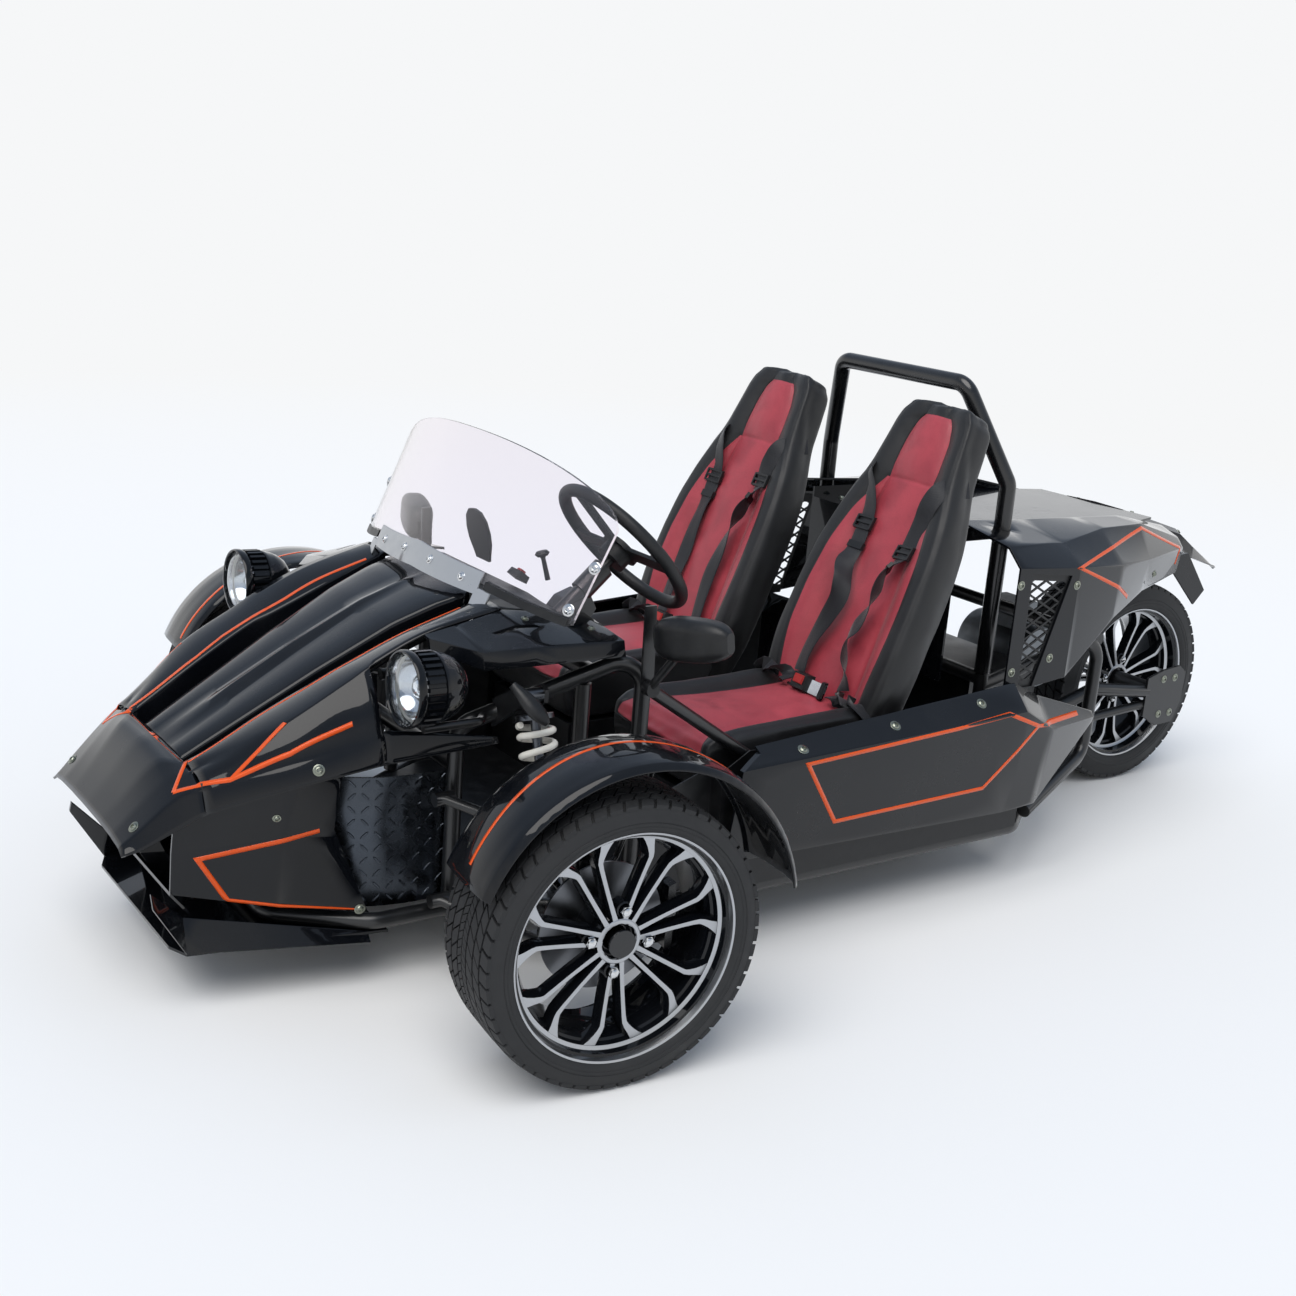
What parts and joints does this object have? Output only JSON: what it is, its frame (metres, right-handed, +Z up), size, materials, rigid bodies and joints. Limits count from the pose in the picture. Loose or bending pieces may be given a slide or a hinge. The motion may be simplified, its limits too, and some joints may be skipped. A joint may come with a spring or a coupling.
{
  "type": "electric tricycle",
  "caption": "Open two-seat electric tricycle with faceted black bodywork, orange pinstripes, red seats, steered front wheels and one driven rear wheel.",
  "frame": {"origin": "on the ground, under the middle of the bounding box", "axes": "+X towards the nose, +Y to the driver's left, +Z up"},
  "size_m": [3.428, 1.8586, 1.239],
  "materials": {
    "black_steel": "satin",
    "black_gloss": "gloss",
    "treadplate": "satin",
    "clear_screen": "clear",
    "bracket_alloy": "satin",
    "black_plastic": "matte",
    "seat_leather": "satin",
    "webbing": "woven",
    "lamp_glass": "clear",
    "damper_steel": "satin",
    "spring_white": "gloss",
    "motor_alloy": "cast",
    "wheel_alloy": "machined",
    "brake_steel": "turned",
    "tyre_rubber": "matte",
    "grip_rubber": "matte"
  },
  "bodies": {
    "chassis": {"frame_lower": "black_steel", "frame_front": "black_steel", "frame_rear": "black_steel", "roll_bar": "black_steel", "floor_tub": "black_steel", "footbox": "treadplate", "nose_cowl": "black_gloss", "hood": "black_gloss", "front_fascia": "black_gloss", "splitter": "black_gloss", "scuttle": "black_gloss", "shelf_cowls": "black_gloss", "windscreen": "clear_screen", "screen_bracket": "bracket_alloy", "side_panels": "black_gloss", "rear_quarters": "black_gloss", "side_grilles": "black_plastic", "rear_deck": "black_gloss", "tail_guard": "black_gloss", "seat_cushions": "seat_leather", "seat_backs": "seat_leather", "harnesses": "webbing", "headlight_housings": "black_plastic", "headlight_lenses": "lamp_glass", "indicators": "black_plastic", "mirrors": "black_plastic", "wishbones": "black_steel", "dampers": "damper_steel", "coil_springs": "spring_white", "battery_block": "black_plastic", "motor_block": "motor_alloy", "swingarm": "black_steel", "steering_column": "black_plastic"},
    "knuckle_left": {"knuckle_left": "motor_alloy", "fender_left": "black_gloss"},
    "knuckle_right": {"knuckle_right": "motor_alloy", "fender_right": "black_gloss"},
    "wheel_front_left": {"rim_front_left": "wheel_alloy", "tyre_front_left": "tyre_rubber", "disc_front_left": "brake_steel"},
    "wheel_front_right": {"rim_front_right": "wheel_alloy", "tyre_front_right": "tyre_rubber", "disc_front_right": "brake_steel"},
    "wheel_rear": {"rim_rear": "wheel_alloy", "tyre_rear": "tyre_rubber"},
    "steering_wheel": {"steering_wheel": "grip_rubber"}
  },
  "joints": [
    {"name": "steer_left", "type": "hinge", "parent": "chassis", "child": "knuckle_left", "pos_m": [0.979, 0.6906, 0.288], "axis": [0, 0, 1], "range_deg": [-24.16, 35.84]},
    {"name": "steer_right", "type": "hinge", "parent": "chassis", "child": "knuckle_right", "pos_m": [0.979, -0.6906, 0.288], "axis": [0, 0, 1], "range_deg": [-24.16, 35.84]},
    {"name": "front_left_spin", "type": "hinge", "parent": "knuckle_left", "child": "wheel_front_left", "pos_m": [0.99019, 0.80003, 0.288], "axis": [0.1018, 0.9948, 0], "continuous": true},
    {"name": "front_right_spin", "type": "hinge", "parent": "knuckle_right", "child": "wheel_front_right", "pos_m": [0.96781, -0.80003, 0.288], "axis": [0.1018, 0.9948, 0], "continuous": true},
    {"name": "rear_spin", "type": "hinge", "parent": "chassis", "child": "wheel_rear", "pos_m": [-1.334, 0, 0.304], "axis": [0, 1, 0], "continuous": true},
    {"name": "steering_wheel_turn", "type": "hinge", "parent": "chassis", "child": "steering_wheel", "pos_m": [0.676, 0.294, 0.874], "axis": [-0.7431, 0, 0.6691], "range_deg": [-193.28, 286.72]}
  ],
  "couplings": [
    {"joint": "steer_right", "follows": "steer_left", "ratio": 1},
    {"joint": "steering_wheel_turn", "follows": "steer_left", "ratio": 8}
  ]
}
